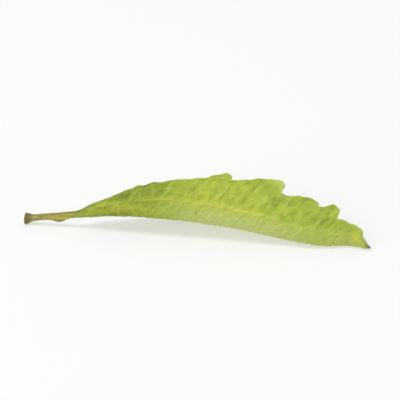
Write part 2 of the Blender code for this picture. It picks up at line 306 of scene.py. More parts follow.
# Flat places (x, width) of one half, from beside the midrib out and round the rim
def halfGrid(lobes, rows):
    edge = edgeOfRows(lobes, rows)
    sweep = edge[:, 0] - rows
    most = veins["sideVeinMost"] * edge[:, 1]
    vein = np.minimum(smoothThrough(veins["sideVein"], rows), most)
    swing, length = veins["sideVeinSway"]
    vein += swing * np.sin(2 * math.pi * rows / length) * smoothStep(*veins["swayGrows"], vein)
    rounding = np.minimum(form["bladeThickness"] / 2, form["mostRounding"] * edge[:, 1])
    brim = edge[:, 1] - rounding
    toVein = np.arange(1, form["columnsToVein"] + 1) / form["columnsToVein"]
    toBrim = np.arange(1, form["columnsToEdge"] + 1) / form["columnsToEdge"]
    turns = np.radians(form["rimTurns"])
    widths = [vein * part for part in toVein]
    widths += [vein + (brim - vein) * part for part in toBrim]
    widths += [brim + rounding * math.sin(turn) for turn in turns]
    widths = np.stack(widths, axis=1)
    places = rows[:, None] + sweep[:, None] * (widths / edge[:, 1:2]) ** veins["branchCurve"]
    thinning = np.concatenate([np.ones(len(toVein) + len(toBrim)), np.cos(turns)])
    return places, widths, np.repeat(vein[:, None], widths.shape[1], axis=1), thinning


# 0 on the net between the puckers and up to 1 in the middle of each, some shallower than others
def puckerHollow(x, s):
    draw = random.Random(veins["puckerSeed"])
    depths = random.Random(veins["puckerSeed"] + 1)
    shake = veins["puckerShake"]
    centres = []
    for column in range(*veins["puckerColumns"]):
        for row in range(*veins["puckerRows"]):
            centreX = veins["puckerLength"] * (row + 0.5 * (column % 2))
            centreX += draw.uniform(-shake, shake)
            centres.append((centreX, veins["puckerWidth"] * column + draw.uniform(-shake, shake)))
    flat = np.stack([x - veins["branchSweep"] * np.abs(s), s], axis=-1).reshape(-1, 1, 2)
    gaps = np.linalg.norm(flat - np.array(centres), axis=-1)
    nearest = np.partition(gaps, 1, axis=1)[:, :2]
    depth = np.array([depths.uniform(veins["puckerShallowest"], 1.0) for _ in centres])
    depth = depth[np.argmin(gaps, axis=1)]
    hollow = depth * smoothStep(0.0, veins["puckerSlope"], nearest[:, 1] - nearest[:, 0])
    return hollow.reshape(x.shape)


# The side branches: how high they stand at a place, up to 1 on the ridge of the strongest. Those
# between the midrib and the side vein stand half a step from those further out.
def branchLine(rows, s, vein, share):
    between = veins["rowsBetweenBranches"] * form["splitRows"]
    spacing = (np.gradient(rows) * between)[:, None]
    number = (np.arange(len(rows)) / between)[:, None]
    width = np.abs(s)
    swing, length = veins["branchSway"]
    first, last = veins["branchesFrom"], veins["branchesTo"]
    along = smoothStep(first - 1, first, rows) * smoothStep(last + 1, last, rows)
    meets = veins["branchMeetsVein"]
    inner = smoothStep(*veins["innerFrom"], width) * smoothStep(meets, -meets, width - vein)
    outer = smoothStep(*veins["branchEnds"], np.abs(share))
    outer = outer * smoothStep(-meets, meets, width - vein)
    even, change, turn = veins["branchStrength"]
    lines = 0.0
    for shift, across in ((0.5, inner * veins["innerStrength"]), (0.0, outer)):
        counted = number + shift
        nearest = np.round(counted)
        sway = swing * np.sin(width * length + nearest * veins["swayShift"])
        strength = even + change * np.sin(nearest * turn + np.sign(s))
        beside = (counted - nearest) * spacing + sway
        lines = lines + across * strength * ridge(beside, veins["branchSpreads"])
    return along[:, None] * lines


# The stalk or the tip at the same places: round outside, with a channel on the inside of the fold
def roundSection(x, share, radius, isUpper):
    angles = smoothThrough(form["standingAngle"], x) + smoothThrough(form["lyingAngle"], x)
    facing = np.radians(angles) / 2 + math.pi
    if isUpper:
        halfTurn = math.radians(form["upperHalfTurn"])
        out = math.cos(halfTurn) + form["stalkChannel"] * (1 - share**2) / form["stalkRadius"]
        sideways = -share * math.sin(halfTurn)
    else:
        halfTurn = math.radians(form["undersideHalfTurn"])
        out, sideways = np.cos(share * halfTurn), -np.sin(share * halfTurn)
    centre = smoothThrough(form["midrib"], x)
    y = centre[..., 0] + radius * (out * np.cos(facing) - sideways * np.sin(facing))
    z = centre[..., 1] + radius * (out * np.sin(facing) + sideways * np.cos(facing))
    return np.stack([x, y, z], axis=-1)


# Both faces of the leaf on one grid, with what the finish needs to know about every place
def leafGrid():
    rows = midribRows()
    standingX, standingS, standingVein, thinning = halfGrid(form["standingEdge"], rows)
    lyingX, lyingS, lyingVein, _ = halfGrid(form["lyingEdge"], rows)
    x = np.concatenate([lyingX[:, ::-1], rows[:, None], standingX], axis=1)
    s = np.concatenate([-lyingS[:, ::-1], np.zeros((len(rows), 1)), standingS], axis=1)
    vein = np.concatenate([lyingVein[:, ::-1], standingVein[:, :1], standingVein], axis=1)
    thinning = np.concatenate([thinning[::-1], [1.0], thinning])
    edge = np.where(s > 0, standingS[:, -1:], lyingS[:, -1:])
    share = s / edge
    width = np.abs(s)

    taper = 1.0 - veins["taperMost"] * smoothStep(*veins["veinsTaper"], x)
    midribLine = ridge(width, veins["midribSpreads"])
    sideLine = ridge(width - vein, veins["sideVeinSpreads"])
    branches = branchLine(rows, s, vein, share)
    hollow = puckerHollow(x, s) * smoothStep(*veins["puckersGrow"], width)
    rise = taper * (veins["midribRise"] * midribLine + veins["sideVeinRise"] * sideLine)
    rise += veins["branchRise"] * branches

    middle = foldedPlace(x, s)
    along, outward = foldDirections(x, s)
    wave = np.where(s > 0, form["standingWave"], form["lyingWave"]) * share**2
    wave *= np.sin(2 * math.pi * x / form["waveLength"])
    for height, lengthAlong, lengthAcross, phase in form["buckles"]:
        turn = 2 * math.pi * (x / lengthAlong + width / lengthAcross) + phase + np.sign(s)
        wave += height * np.sin(turn) * smoothStep(*form["bucklesGrow"], width)
    place, length, roll, crease = form["rolledTooth"]
    onTooth = bump(x - place, length)
    creaseAt, creaseSpread = form["rolledCrease"]
    # where the rolled tooth's rim is painted pale as a highlight
    rolledRimHighlight = smoothStep(*form["rolledRimHighlight"], share) * onTooth
    # where the crease inside it is cut in, and also painted darker as shade
    rolledCrease = bump(share - creaseAt, creaseSpread) * onTooth
    wave += roll * smoothStep(*form["rolls"], share) * onTooth - crease * rolledCrease
    curl = form["evenCurl"]
    for strength, turn, side in form["curlWaves"]:
        curl = curl + strength * np.sin(x * turn + side * np.sign(s))
    curl = form["edgeCurl"] * curl * smoothStep(*form["curlShares"], np.abs(share))
    wave += curl * smoothStep(*form["curlWidths"], edge)
    middle += outward * (wave - veins["puckerDepth"] * hollow)[..., None]

    filling = form["foldFilling"] * bump(width, form["foldFillingWidth"])
    thickness = form["bladeThickness"] + filling
    start, end, least = form["offsetGrows"]
    grown = least + (1 - least) * smoothStep(start, end, x)
    offset = form["undersideOffset"] * grown
    rise = rise * grown
    under = middle + outward * (offset + rise)[..., None]
    upperOut = offset + veins["showsOnUpperFace"] * rise - thickness
    upper = middle + outward * upperOut[..., None]

    halfWidth = (standingS[:, -1] + lyingS[:, -1]) / 2
    roundness = 1.0 - smoothStep(form["roundBelowWidth"], form["flatAboveWidth"], halfWidth)
    roundness = np.repeat(roundness[:, None], x.shape[1], axis=1)
    flare = bump(x - rows[0], form["cutEndFlare"])
    place, length, wingRise = form["wing"]
    standsAt, wingSpread = form["wingSide"]
    wing = bump(x - place, length) * bump(share + standsAt, wingSpread)
    stalk = form["stalkRadius"] + (form["cutEndRadius"] - form["stalkRadius"]) * flare
    tip = form["tipEndRadius"] - form["tipRadius"]
    tip = form["tipRadius"] + tip * smoothStep(*form["tipTapers"], x)
    radius = np.where(x < 0, stalk * (1.0 + wingRise * wing), tip)
    blend = roundness[..., None]
    under = under * (1 - blend) + roundSection(x, share, radius, False) * blend
    upper = upper * (1 - blend) + roundSection(x, share, radius, True) * blend

    # the rim is round on the blade and meets in one line on the stalk
    thin = thinning * (1 - roundness) + np.where(thinning > 1e-6, 1.0, 0.0) * roundness
    centre = (under + upper) / 2
    under = centre + (under - centre) * thin[..., None]
    upper = centre + (upper - centre) * thin[..., None]
    facts = {
        "flatPlace": np.stack([x, s, np.zeros_like(x)], axis=-1) * mm,
        "outward": outward,
        "alongLeaf": along,
        "rimGap": (edge - width) * mm,
        "midribLine": midribLine,
        "sideVein": sideLine * smoothStep(*veins["sideVeinEnds"], np.abs(share)),
        "branchLine": branches,
        "hollow": hollow,
        "roundness": roundness,
        "wing": wing * roundness,
        "rolledRimHighlight": rolledRimHighlight,
        "rolledCrease": rolledCrease,
    }
    facts["rimGap"][:, 0] = facts["rimGap"][:, -1] = 0.0
    return under, upper, facts


# Each row as one closed loop: the underside, a rim, every other column of the upper face, a rim
def closedLoops(under, upper):
    rim = (under + upper) / 2
    count = upper.shape[1]
    atRim = len(form["rimTurns"]) + 1
    kept = [
        k for k in range(count - 2, 0, -1)
        if (k - count // 2) % 2 == 0 or min(k, count - 1 - k) <= atRim
    ]
    return np.concatenate([under[:, 1:-1], rim[:, -1:], upper[:, kept], rim[:, :1]], axis=1)


# Rings that close an end loop inwards, a little sunk, and the point in their middle
def endRings(loop, shares, depth):
    centre = loop.mean(axis=0)
    rings = []
    for share in shares:
        ring = centre + (loop - centre) * share
        ring[:, 0] += depth * (1 - share**2)
        rings.append(ring)
    return np.concatenate(rings), centre + np.array([depth, 0.0, 0.0])


# Lowers the topmost stretch of the heights evenly, so that the highest tooth ends at the limit
def easedDown(heights, limit, stretch):
    above = heights - (limit - stretch)
    share = stretch / max(above.max(), stretch)
    return np.where(above > 0, limit - stretch + above * share, heights)


def addObject(name, data):
    made = bpy.data.objects.new(name, data)
    bpy.context.scene.collection.objects.link(made)
    return made


# Stores values with a mesh, one for each point or each face, as numbers or as vectors
def storeValues(mesh, name, values, domain="POINT"):
    isVector = values.ndim == 2
    stored = mesh.attributes.new(name, "FLOAT_VECTOR" if isVector else "FLOAT", domain)
    stored.data.foreach_set("vector" if isVector else "value", values.ravel())


def readValues(data, field, width=1):
    values = np.empty(len(data) * width)
    data.foreach_get(field, values)
    return values.reshape(-1, width) if width > 1 else values


# The rings that close the cut end, how far it is sunk, how brown the rings are, and the tip's ring
cutEnd = {"ringShares": (0.93, 0.78, 0.55, 0.3), "sunk": 0.14, "brownFrom": 0.6, "tipRing": 0.5}


def makeBlade(name):
    under, upper, facts = leafGrid()
    loops = closedLoops(under, upper)
    count, around = loops.shape[:2]
    points = loops.reshape(-1, 3)
    points[:, :2] += leafLow[:2] / mm - points[:, :2].min(axis=0)    # where the frame holds it
    top = leafHigh[2] / mm - form["roomOnTop"]
    points[:, 2] = np.maximum(easedDown(points[:, 2], top, form["topStretch"]), 0.0)
    loops = points.reshape(count, around, 3)

    startRings, startMiddle = endRings(loops[0], cutEnd["ringShares"], cutEnd["sunk"])
    tipRings, tipMiddle = endRings(loops[-1], (cutEnd["tipRing"],), 0.0)
    points = np.concatenate([points, startRings, [startMiddle], tipRings, [tipMiddle]])
    k = np.arange(around)
    after = (k + 1) % around
    rowStart = (np.arange(count - 1) * around)[:, None]
    nextStart = rowStart + around
    quads = np.stack([rowStart + k, nextStart + k, nextStart + after, rowStart + after], axis=-1)
    faces = quads.reshape(-1, 4).tolist()
    sideFaces = len(faces)
    firstRing = count * around
    chain = [0] + [firstRing + around * i for i in range(len(cutEnd["ringShares"]))]
    for outer, inner in zip(chain, chain[1:]):
        faces += np.stack([outer + k, outer + after, inner + after, inner + k], axis=-1).tolist()
    middle = firstRing + len(startRings)
    faces += [(chain[-1] + a, chain[-1] + b, middle) for a, b in zip(k.tolist(), after.tolist())]
    lastLoop, tipRing = (count - 1) * around, middle + 1
    faces += np.stack([lastLoop + after, lastLoop + k, tipRing + k, tipRing + after], axis=-1).tolist()
    faces += [(tipRing + b, tipRing + a, tipRing + around) for a, b in zip(k.tolist(), after.tolist())]

    mesh = bpy.data.meshes.new(name)
    mesh.from_pydata((points * mm).tolist(), [], faces)
    mesh.shade_smooth()
    storeValues(mesh, "closesEnd", (np.arange(len(faces)) >= sideFaces).astype(float), "FACE")
    ones = np.ones(under.shape[:2])
    facts["leafSide"] = (ones, ones * 0.0)
    for fact, values in facts.items():
        pair = values if isinstance(values, tuple) else (values, values)
        looped = closedLoops(*pair)
        allLoops = looped.reshape(-1, *looped.shape[2:])
        startPart = np.tile(looped[0], (len(cutEnd["ringShares"]),) + (1,) * (looped.ndim - 2))
        ends = [startPart, looped[:1, 0], looped[-1], looped[-1:, 0]]
        storeValues(mesh, fact, np.concatenate([allLoops, *ends]))
    cutShare = np.zeros(len(points))
    rings = np.repeat(1.0 - np.array(cutEnd["ringShares"]) * cutEnd["brownFrom"], around)
    cutShare[firstRing : firstRing + len(startRings)] = rings
    cutShare[middle] = 1.0
    storeValues(mesh, "cutEnd", cutShare)
    return addObject(name, mesh)


# The flat map's name and its margin, then where it puts the underside, the upper face and the two
# ends as shares of its height, where the two ends lie along it, and its stretch across the leaf
flatMap = {
    "name": "OFBake",
    "margin": 0.01,
    "underside": 0.01,
    "upperFace": 0.47,
    "ends": 0.925,
    "cutEndAlong": 0.02,
    "tipAlong": 0.5,
    "acrossStretch": 1.35,
}


# Gives the blade a map of its own: each face of the leaf laid out flat, and its two ends beside them
def layMap(piece, layout):
    mesh = piece.data
    corners = readValues(mesh.loops, "vertex_index").astype(int)
    totals = readValues(mesh.polygons, "loop_total").astype(int)
    face = np.repeat(np.arange(len(totals)), totals)
    flatPlace = readValues(mesh.attributes["flatPlace"].data, "vector", 3)[corners]
    place = readValues(mesh.vertices, "co", 3)[corners]
    side = readValues(mesh.attributes["leafSide"].data, "value")[corners]
    isUnderside = (np.bincount(face, side) / totals > 0.5)[face]
    isEnd = readValues(mesh.attributes["closesEnd"].data, "value")[face] > 0.5
    full = np.ptp(flatPlace[:, 0]) * (1 + 2 * layout["margin"])
    u = (flatPlace[:, 0] - flatPlace[:, 0].min()) / full + layout["margin"]
    v = (flatPlace[:, 1] - flatPlace[:, 1].min()) / full * layout["acrossStretch"]
    v += np.where(isUnderside, layout["underside"], layout["upperFace"])
    endU = (place[:, 1] - place[:, 1].min()) / full
    endU += np.where(place[:, 0] > 0, layout["tipAlong"], layout["cutEndAlong"])
    endV = place[:, 2] / full + layout["ends"]
    spots = np.stack([np.where(isEnd, endU, u), np.where(isEnd, endV, v)], axis=-1)
    mesh.uv_layers.new(name=layout["name"]).data.foreach_set("uv", spots.ravel())
    print("flat map laid, its far corner at", [round(float(reach), 3) for reach in spots.max(axis=0)])


# Adds a node to a tree, sets it up, links or sets its inputs and gives back one output
def addNode(tree, kind, inputs=(), take=None, **settings):
    made = tree.nodes.new(kind)
    for name, value in settings.items():
        setattr(made, name, value)
    for key, value in dict(inputs).items():
        usable = [socket for socket in made.inputs if socket.enabled]
        socket = usable[key] if isinstance(key, int) else next(s for s in usable if s.name == key)
        if isinstance(value, bpy.types.NodeSocket):
            tree.links.new(value, socket)
        else:
            socket.default_value = value
    outputs = [socket for socket in made.outputs if socket.enabled]
    if take:
        return next(socket for socket in outputs if socket.name == take)
    return outputs[0] if outputs else made


def calc(tree, operation, *values, clamp=False):
    inputs = dict(enumerate(values))
    return addNode(tree, "ShaderNodeMath", inputs, operation=operation, use_clamp=clamp)


# Chains one operation over any number of values
def chained(tree, operation, values):
    result = values[0]
    for value in values[1:]:
        result = calc(tree, operation, result, value)
    return result


def times(tree, *values):
    return chained(tree, "MULTIPLY", values)


def plus(tree, *values):
    return chained(tree, "ADD", values)


def vectorCalc(tree, operation, *values):
    return addNode(tree, "ShaderNodeVectorMath", dict(enumerate(values)), operation=operation)


def scaled(tree, vector, factor):
    return addNode(tree, "ShaderNodeVectorMath", {"Vector": vector, "Scale": factor}, operation="SCALE")


def combine(tree, x, y, z):
    return addNode(tree, "ShaderNodeCombineXYZ", {"X": x, "Y": y, "Z": z})


def separate(tree, vector):
    return [addNode(tree, "ShaderNodeSeparateXYZ", {"Vector": vector}, take=axis) for axis in "XYZ"]


def ramp(tree, value, low, high, atLow=0.0, atHigh=1.0):
    inputs = {"Value": value, "From Min": low, "From Max": high, "To Min": atLow, "To Max": atHigh}
    return addNode(tree, "ShaderNodeMapRange", inputs, interpolation_type="SMOOTHSTEP")


def noise(tree, vector, size, detail=2.0, roughness=0.5):
    inputs = {"Vector": vector, "Scale": 1.0 / size, "Detail": detail, "Roughness": roughness}
    return addNode(tree, "ShaderNodeTexNoise", inputs)


def cellEdge(tree, vector, size, randomness=0.9):
    inputs = {"Vector": vector, "Scale": 1.0 / size, "Randomness": randomness}
    return addNode(tree, "ShaderNodeTexVoronoi", inputs, feature="DISTANCE_TO_EDGE")


# A geometry tree with named inputs; gives back the tree, its inputs and their identifiers
def newGeometryTree(name, sizes):
    kinds = {float: "NodeSocketFloat", int: "NodeSocketInt", tuple: "NodeSocketVector"}
    tree = bpy.data.node_groups.new(name, "GeometryNodeTree")
    tree.interface.new_socket("Geometry", in_out="INPUT", socket_type="NodeSocketGeometry")
    tree.interface.new_socket("Geometry", in_out="OUTPUT", socket_type="NodeSocketGeometry")
    identifiers = {}
    for label, value in sizes.items():
        kind = kinds.get(type(value), "NodeSocketMaterial")
        socket = tree.interface.new_socket(label, in_out="INPUT", socket_type=kind)
        identifiers[label] = socket.identifier
    entry = tree.nodes.new("NodeGroupInput")
    return tree, {socket.name: socket for socket in entry.outputs if socket.name}, identifiers


# Ends a geometry tree: what it made becomes plain geometry with its material
def finishTree(tree, geometry, material):
    realized = addNode(tree, "GeometryNodeRealizeInstances", {"Geometry": geometry})
    painted = {"Geometry": realized, "Material": material}
    painted = addNode(tree, "GeometryNodeSetMaterial", painted)
    addNode(tree, "NodeGroupOutput", {"Geometry": painted})


# Runs a geometry tree on an object and keeps the result as its plain mesh
def applyTree(obj, tree, identifiers, sizes):
    modifier = obj.modifiers.new(tree.name, "NODES")
    modifier.node_group = tree
    for label, value in sizes.items():
        modifier[identifiers[label]] = value
    graph = bpy.context.evaluated_depsgraph_get()
    plain = bpy.data.meshes.new_from_object(
        obj.evaluated_get(graph), preserve_all_data_layers=True, depsgraph=graph
    )
    obj.modifiers.remove(modifier)
    plain.name = obj.name
    obj.data = plain
    return obj


def attributeIn(tree, name, kind="FLOAT"):
    return addNode(tree, "GeometryNodeInputNamedAttribute", {"Name": name}, data_type=kind)


def storeIn(tree, geometry, name, value, kind="FLOAT"):
    inputs = {"Geometry": geometry, "Name": name, "Value": value}
    return addNode(tree, "GeometryNodeStoreNamedAttribute", inputs, data_type=kind, domain="POINT")


# Flat places sheared so that a net drawn on them follows the branches' slant
def slanted(tree, flatPlace, sweep):
    x, s, _ = separate(tree, flatPlace)
    swept = times(tree, calc(tree, "ABSOLUTE", s), sweep)
    return combine(tree, calc(tree, "SUBTRACT", x, swept), s, 0.0)


# The stretch of every pattern that runs with the midrib
lengthwiseStretch = (0.14, 1.0, 1.0)

# How the fine relief's patterns are drawn, with places and sizes in metres
reliefPatterns = {
    # the two nets: the size that each reads from the blade's relief, and its lines' share of a cell
    "nets": [("Net cell", 0.13), ("Fine cell", 0.2)],
    "netSwayScale": 400.0,
    # the noise that leaves some stretches of the net faint: its size and detail, then its values
    # that fade in and the shares
    "faintNet": ((0.0021, 2.0), (0.35, 0.6, 0.25, 1.0)),
    # how far from the rim the relief starts and is full
    "clearOfRim": (0.0001, 0.0005),
    "upperFaceShare": 0.7,
    # the creases' stretch, then the size and detail of their noise, and how near its middle value
    # that noise has to be
    "creases": [((0.45, 1.0, 1.0), (0.0017, 1.5)), ((1.0, 0.55, 1.0), (0.0013, 1.5))],
    "creaseNear": 0.045,
    # size, detail and roughness of each noise
    "wrinkles": (0.0008, 3.0),
    "crinkles": (0.0007, 3.0, 0.65),
    "fibres": (0.00022, 1.0),
}


# The raised net of veinlets, the creases and wrinkles of the dry blade, and the stalk's fibres
def reliefTree(sizes, patterns):
    tree, given, identifiers = newGeometryTree("fineRelief", sizes)
    flatPlace = attributeIn(tree, "flatPlace", "FLOAT_VECTOR")
    place = slanted(tree, flatPlace, veins["branchSweep"])
    place = vectorCalc(tree, "ADD", place, combine(tree, given["Seed shift"], 0.0, 0.0))
    sway = {"Vector": place, "Scale": patterns["netSwayScale"], "Detail": 1.0}
    sway = addNode(tree, "ShaderNodeTexNoise", sway, take="Color")
    sway = vectorCalc(tree, "SUBTRACT", sway, (0.5, 0.5, 0.5))
    place = vectorCalc(tree, "ADD", place, scaled(tree, sway, given["Net sway"]))
    lines = []
    for cell, thickness in patterns["nets"]:
        edge = addNode(
            tree, "ShaderNodeTexVoronoi",
            {"Vector": scaled(tree, place, calc(tree, "DIVIDE", 1.0, given[cell])), "Scale": 1.0},
            feature="DISTANCE_TO_EDGE", voronoi_dimensions="2D",
        )
        lines.append(ramp(tree, edge, 0.0, thickness, 1.0, 0.0))
    # some stretches of the net are faint
    size, shows = patterns["faintNet"]
    strength = ramp(tree, noise(tree, flatPlace, *size), *shows)
    netLine = times(tree, lines[0], strength)
    flatness = calc(tree, "SUBTRACT", 1.0, attributeIn(tree, "roundness"))
    inside = ramp(tree, attributeIn(tree, "rimGap"), *patterns["clearOfRim"])
    fade = times(tree, flatness, inside)
    fineLine = times(tree, lines[1], given["Fine height"])
    height = plus(tree, times(tree, netLine, given["Net height"]), fineLine)
    onSide = ramp(tree, attributeIn(tree, "leafSide"), 0.0, 1.0, patterns["upperFaceShare"], 1.0)
    height = times(tree, height, onSide)
    # creases stand where a slow noise passes through its middle value
    crease = 0.0
    for stretch, size in patterns["creases"]:
        slow = noise(tree, vectorCalc(tree, "MULTIPLY", place, stretch), *size)
        off = calc(tree, "ABSOLUTE", calc(tree, "SUBTRACT", slow, 0.5))
        crease = plus(tree, crease, ramp(tree, off, 0.0, patterns["creaseNear"], 1.0, 0.0))
    height = calc(tree, "SUBTRACT", height, times(tree, crease, given["Crease depth"]))
    # long wrinkles run with the midrib
    lengthwise = vectorCalc(tree, "MULTIPLY", flatPlace, lengthwiseStretch)
    wrinkle = calc(tree, "SUBTRACT", noise(tree, lengthwise, *patterns["wrinkles"]), 0.5)
    crinkle = calc(tree, "SUBTRACT", noise(tree, place, *patterns["crinkles"]), 0.5)
    wrinkle = times(tree, wrinkle, given["Wrinkle height"])
    crinkle = times(tree, crinkle, given["Crinkle height"])
    height = times(tree, plus(tree, height, wrinkle, crinkle), fade)
    offset = scaled(tree, attributeIn(tree, "outward", "FLOAT_VECTOR"), height)
    fibre = calc(tree, "SUBTRACT", noise(tree, lengthwise, *patterns["fibres"]), 0.5)
    onStalk = times(tree, attributeIn(tree, "roundness"), given["Fibre height"])
    fibre = scaled(tree, addNode(tree, "GeometryNodeInputNormal"), times(tree, fibre, onStalk))
    offset = vectorCalc(tree, "ADD", offset, fibre)
    kept = given["Geometry"]
    for name, value in (("netLine", netLine), ("creaseLine", calc(tree, "MINIMUM", crease, 1.0))):
        kept = storeIn(tree, kept, name, times(tree, value, fade))
    moved = addNode(tree, "GeometryNodeSetPosition", {"Geometry": kept, "Offset": offset})
    x, y, z = separate(tree, addNode(tree, "GeometryNodeInputPosition"))
    settled = combine(tree, x, y, calc(tree, "MAXIMUM", z, 0.0))
    rested = addNode(tree, "GeometryNodeSetPosition", {"Geometry": moved, "Position": settled})
    finishTree(tree, rested, given["Material"])
    return tree, identifiers


# Short pale hairs that lean towards the tip, left out where they would reach past the leaf's box
def hairTree(sizes):
    tree, given, identifiers = newGeometryTree("shortHairs", sizes)
    fewer = calc(tree, "SUBTRACT", 1.0, attributeIn(tree, "cutEnd"), clamp=True)
    onSide = ramp(tree, attributeIn(tree, "leafSide"), 0.0, 1.0, given["Share on upper face"], 1.0)
    density = times(tree, fewer, onSide, given["Hairs a square metre"])
    spread = {"Mesh": given["Geometry"], "Density": density, "Seed": given["Seed"]}
    points = addNode(tree, "GeometryNodeDistributePointsOnFaces", spread)
    normal = next(n for n in points.node.outputs if n.name == "Normal")
    shake = {"Min": (-1.0, -1.0, -1.0), "Max": (1.0, 1.0, 1.0), "Seed": given["Seed"]}
    shake = addNode(tree, "FunctionNodeRandomValue", shake, data_type="FLOAT_VECTOR")
    shake = scaled(tree, shake, given["Shake"])
    lean = scaled(tree, attributeIn(tree, "alongLeaf", "FLOAT_VECTOR"), given["Lean"])
    facing = vectorCalc(tree, "ADD", vectorCalc(tree, "ADD", normal, lean), shake)
    facing = vectorCalc(tree, "NORMALIZE", facing)
    captured = storeIn(tree, points, "hairFacing", facing, "FLOAT_VECTOR")
    facing = attributeIn(tree, "hairFacing", "FLOAT_VECTOR")
    length = given["Length"]
    root = addNode(tree, "GeometryNodeInputPosition")
    end = scaled(tree, facing, times(tree, length, given["Reach"]))
    end = vectorCalc(tree, "ADD", root, end)
    room = separate(tree, vectorCalc(tree, "SUBTRACT", end, given["Lowest corner"]))
    room += separate(tree, vectorCalc(tree, "SUBTRACT", given["Highest corner"], end))
    room.append(separate(tree, vectorCalc(tree, "SUBTRACT", root, given["Lowest corner"]))[2])
    outside = {"A": chained(tree, "MINIMUM", room), "B": 0.0}
    outside = addNode(tree, "FunctionNodeCompare", outside, data_type="FLOAT", operation="LESS_THAN")
    kept = addNode(tree, "GeometryNodeDeleteGeometry", {"Geometry": captured, "Selection": outside})
    cone = {"Vertices": 3, "Side Segments": 2, "Radius Top": 0.0, "Radius Bottom": given["Thickness"]}
    hair = addNode(tree, "GeometryNodeMeshCone", {**cone, "Depth": length})
    # the free end bends over
    height = separate(tree, addNode(tree, "GeometryNodeInputPosition"))[2]
    share = calc(tree, "DIVIDE", height, length)
    bend = combine(tree, times(tree, share, share, length, given["Bend"]), 0.0, 0.0)
    hair = addNode(tree, "GeometryNodeSetPosition", {"Geometry": hair, "Offset": bend})
    turn = addNode(tree, "FunctionNodeAlignRotationToVector", {"Vector": facing}, axis="Z")
    size = {"Min": given["Smallest"], "Max": given["Largest"], "Seed": given["Seed"]}
    size = addNode(tree, "FunctionNodeRandomValue", size, data_type="FLOAT")
    placed = addNode(
        tree, "GeometryNodeInstanceOnPoints",
        {"Points": kept, "Instance": hair, "Rotation": turn, "Scale": combine(tree, size, size, size)},
    )
    finishTree(tree, placed, given["Material"])
    return tree, identifiers


# Screen colours from 0 to 255, turned into the shader's own scale
def paint(colour):
    shares = [channel / 255 for channel in colour]
    linear = [c / 12.92 if c < 0.04045 else ((c + 0.055) / 1.055) ** 2.4 for c in shares]
    return (*linear, 1.0)


def mixed(tree, factor, first, second):
    inputs = {"Factor": factor, "A": first, "B": second}
    return addNode(tree, "ShaderNodeMix", inputs, data_type="RGBA")


def newMaterial(name):
    material = bpy.data.materials.new(name)
    material.use_nodes = True
    return material, material.node_tree, material.node_tree.nodes["Principled BSDF"]


def meshFact(tree, name, take="Fac"):
    return addNode(tree, "ShaderNodeAttribute", take=take, attribute_name=name)


